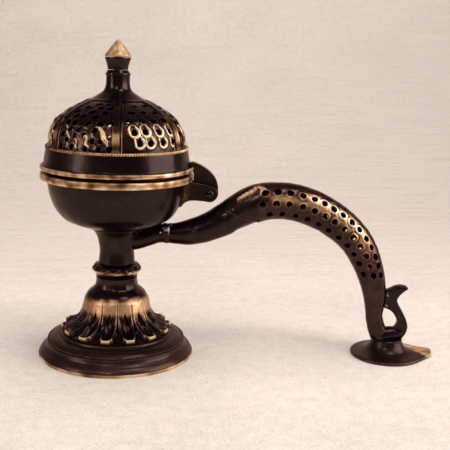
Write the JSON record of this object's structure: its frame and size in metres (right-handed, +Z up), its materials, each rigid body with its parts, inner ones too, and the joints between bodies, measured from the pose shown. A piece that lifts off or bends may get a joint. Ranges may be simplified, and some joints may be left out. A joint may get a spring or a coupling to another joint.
{
  "type": "thurible censer",
  "caption": "Footed brass incense burner with a hinged, pierced dome lid and an arched fish handle that stands on its own small foot.",
  "frame": {"origin": "on the resting plane, under the middle of the outline, between the round base and the tip of the handle's foot", "axes": "+X from the bowl to the handle's foot, +Y across, away from the side that shows the hinge on the right, +Z up"},
  "size_m": [0.292, 0.112, 0.225],
  "materials": {
    "dark_patina": "dark oxidised brass, satin, with worn edges",
    "rubbed_brass": "oxidised brass rubbed through to the metal on raised detail",
    "bright_brass": "bare brass, brushed and slightly aged",
    "solder": "rough grey solder fillet"
  },
  "bodies": {
    "stand": {"base_plate": "dark_patina", "lotus_pedestal": "rubbed_brass", "collar_ring": "rubbed_brass", "stem_column": "dark_patina", "bowl": "dark_patina", "tie_rod": "bright_brass", "tie_rod_washer": "bright_brass", "tie_rod_nut": "bright_brass", "hinge_lug_front": "dark_patina", "hinge_lug_rear": "dark_patina", "hinge_pin": "dark_patina", "handle_solder_joint": "solder", "handle_arm": "dark_patina", "fish_grip": "rubbed_brass", "tail_loop": "dark_patina", "tail_foot": "dark_patina", "foot_rivet": "bright_brass"},
    "lid": {"lid_rim": "dark_patina", "lid_dome": "rubbed_brass", "lid_tongue": "dark_patina", "finial_stem": "dark_patina", "finial_cup": "dark_patina", "finial_cone": "bright_brass", "finial_stud": "bright_brass", "finial_nut": "bright_brass"}
  },
  "joints": [
    {"name": "lid_hinge", "type": "hinge", "parent": "stand", "child": "lid", "pos_m": [-0.0245, 0, 0.1195], "axis": [0, 1, 0], "range_deg": [0, 93]}
  ]
}
